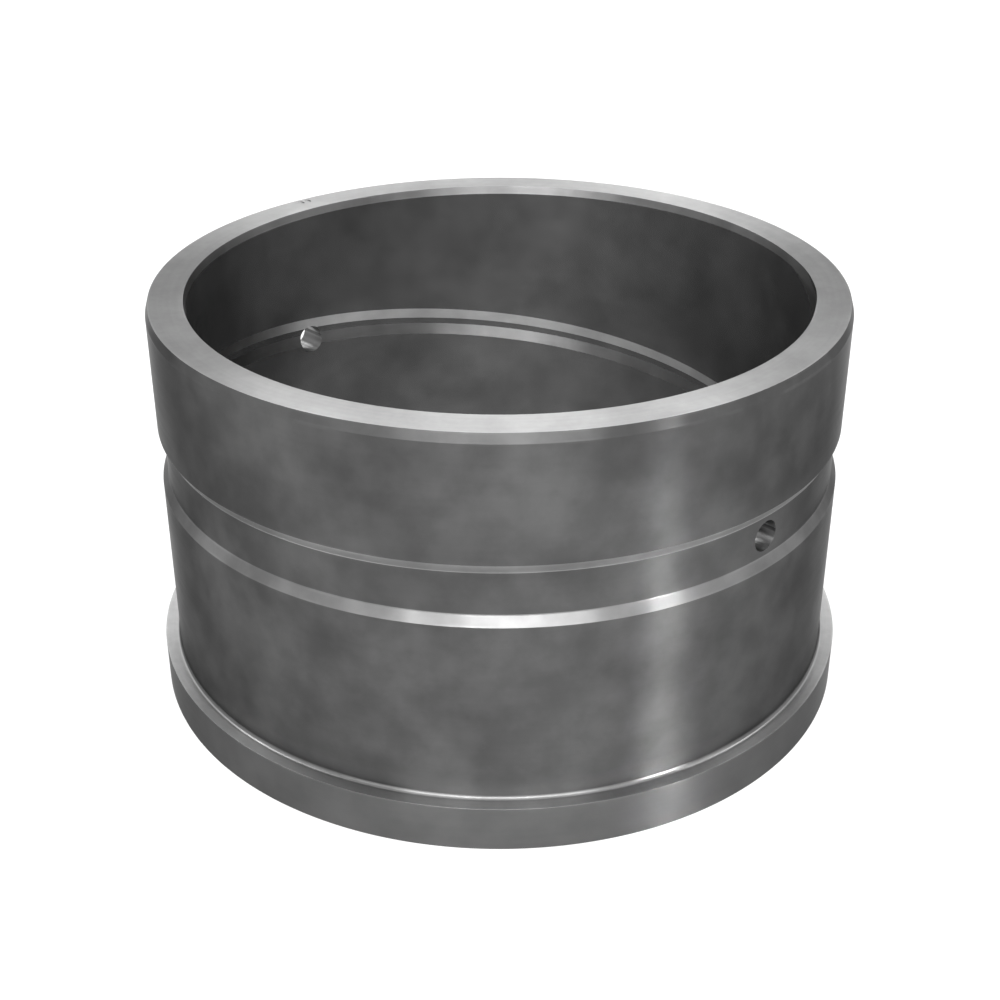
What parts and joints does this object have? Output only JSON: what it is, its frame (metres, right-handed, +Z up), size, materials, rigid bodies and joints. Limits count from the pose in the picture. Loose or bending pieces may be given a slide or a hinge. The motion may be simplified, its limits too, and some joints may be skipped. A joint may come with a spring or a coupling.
{
  "type": "flanged sleeve bushing",
  "caption": "Turned steel sleeve bushing with a narrow flange at its foot, an outer grease groove with drilled grease holes, and a spiral oil groove in its bore.",
  "frame": {"origin": "on the axis, at the underside of the flange, on which the bushing stands", "axes": "+Z up the axis from the flange to the plain end; +X towards the place where the spiral oil groove leaves the top face"},
  "size_m": [0.094, 0.094, 0.054],
  "materials": {
    "turned_steel": "fine-turned, satin"
  },
  "bodies": {
    "root": {"bushing": "turned_steel"}
  },
  "joints": []
}
